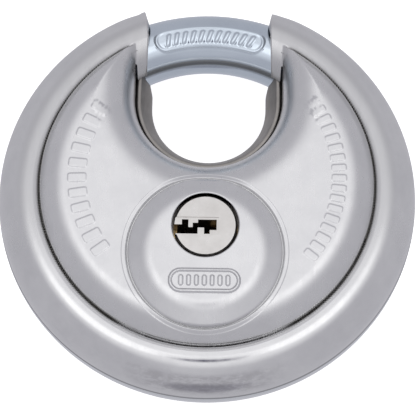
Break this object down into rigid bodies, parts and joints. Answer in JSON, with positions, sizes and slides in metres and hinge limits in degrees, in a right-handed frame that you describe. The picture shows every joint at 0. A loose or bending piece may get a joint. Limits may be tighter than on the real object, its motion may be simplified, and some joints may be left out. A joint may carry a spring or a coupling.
{
  "type": "disc padlock",
  "caption": "Round stainless padlock with a U-shaped throat closed by a curved shackle bar that a keyed cylinder slides round inside the case.",
  "frame": {"origin": "centre of the disc on the flat rear face that it lies on", "axes": "+Z out of the keyway face, +Y from the disc's centre towards the middle of the shackle, +X to the right seen from the front"},
  "size_m": [0.07, 0.0685, 0.0241],
  "materials": {
    "polished_steel": "stainless sheet, brushed then polished",
    "raw_steel": "stainless strip, unpolished",
    "chromed_steel": "hardened steel bar, chrome plated, fine scratches",
    "zinc_plated_steel": "stamped steel, zinc plated",
    "nickel_plug": "nickel-plated brass, satin",
    "brass": "machined brass",
    "spring_steel": "drawn wire"
  },
  "bodies": {
    "case": {"front_shell": "polished_steel", "rear_shell": "polished_steel", "throat_liner": "raw_steel", "front_guide": "zinc_plated_steel", "rear_guide_right": "zinc_plated_steel", "rear_guide_left": "zinc_plated_steel", "cylinder_housing": "brass", "drill_guard": "raw_steel", "chamber_plugs": "brass", "pin_spring_1": "spring_steel", "pin_spring_2": "spring_steel", "pin_spring_3": "spring_steel", "pin_spring_4": "spring_steel", "pin_spring_5": "spring_steel"},
    "shackle_bar": {"shackle": "chromed_steel", "drive_arm": "zinc_plated_steel", "arm_rivets": "zinc_plated_steel"},
    "key_plug": {"plug": "nickel_plug", "plug_clip": "spring_steel", "crank": "zinc_plated_steel", "crank_pin": "zinc_plated_steel", "crank_screw": "zinc_plated_steel"},
    "key_pin_1": {"key_pin_1": "brass"},
    "driver_pin_1": {"driver_pin_1": "brass"},
    "key_pin_2": {"key_pin_2": "brass"},
    "driver_pin_2": {"driver_pin_2": "brass"},
    "key_pin_3": {"key_pin_3": "brass"},
    "driver_pin_3": {"driver_pin_3": "brass"},
    "key_pin_4": {"key_pin_4": "brass"},
    "driver_pin_4": {"driver_pin_4": "brass"},
    "key_pin_5": {"key_pin_5": "brass"},
    "driver_pin_5": {"driver_pin_5": "brass"}
  },
  "joints": [
    {"name": "shackle_turn", "type": "hinge", "parent": "case", "child": "shackle_bar", "pos_m": [0, 0, 0.0113], "axis": [0, 0, -1], "range_deg": [0, 70]},
    {"name": "plug_turn", "type": "hinge", "parent": "case", "child": "key_plug", "pos_m": [0, -0.0088, 0.0113], "axis": [0, 0, -1], "range_deg": [0, 140]},
    {"name": "key_pin_1_slide", "type": "slide", "parent": "key_plug", "child": "key_pin_1", "axis": [-1, 0, 0], "range_m": [0, 0.00095]},
    {"name": "driver_pin_1_slide", "type": "slide", "parent": "case", "child": "driver_pin_1", "axis": [1, 0, 0], "range_m": [0, 0.0024], "stiffness_N_per_m": 60, "springref_m": -0.0015, "deforming": ["pin_spring_1"]},
    {"name": "key_pin_2_slide", "type": "slide", "parent": "key_plug", "child": "key_pin_2", "axis": [-1, 0, 0], "range_m": [0, 0.00195]},
    {"name": "driver_pin_2_slide", "type": "slide", "parent": "case", "child": "driver_pin_2", "axis": [1, 0, 0], "range_m": [0, 0.0024], "stiffness_N_per_m": 60, "springref_m": -0.0015, "deforming": ["pin_spring_2"]},
    {"name": "key_pin_3_slide", "type": "slide", "parent": "key_plug", "child": "key_pin_3", "axis": [-1, 0, 0], "range_m": [0, 0.00065]},
    {"name": "driver_pin_3_slide", "type": "slide", "parent": "case", "child": "driver_pin_3", "axis": [1, 0, 0], "range_m": [0, 0.0024], "stiffness_N_per_m": 60, "springref_m": -0.0015, "deforming": ["pin_spring_3"]},
    {"name": "key_pin_4_slide", "type": "slide", "parent": "key_plug", "child": "key_pin_4", "axis": [-1, 0, 0], "range_m": [0, 0.00155]},
    {"name": "driver_pin_4_slide", "type": "slide", "parent": "case", "child": "driver_pin_4", "axis": [1, 0, 0], "range_m": [0, 0.0024], "stiffness_N_per_m": 60, "springref_m": -0.0015, "deforming": ["pin_spring_4"]},
    {"name": "key_pin_5_slide", "type": "slide", "parent": "key_plug", "child": "key_pin_5", "axis": [-1, 0, 0], "range_m": [0, 0.00215]},
    {"name": "driver_pin_5_slide", "type": "slide", "parent": "case", "child": "driver_pin_5", "axis": [1, 0, 0], "range_m": [0, 0.0024], "stiffness_N_per_m": 60, "springref_m": -0.0015, "deforming": ["pin_spring_5"]}
  ],
  "couplings": [
    {"joint": "plug_turn", "follows": "shackle_turn", "ratio": 2}
  ]
}
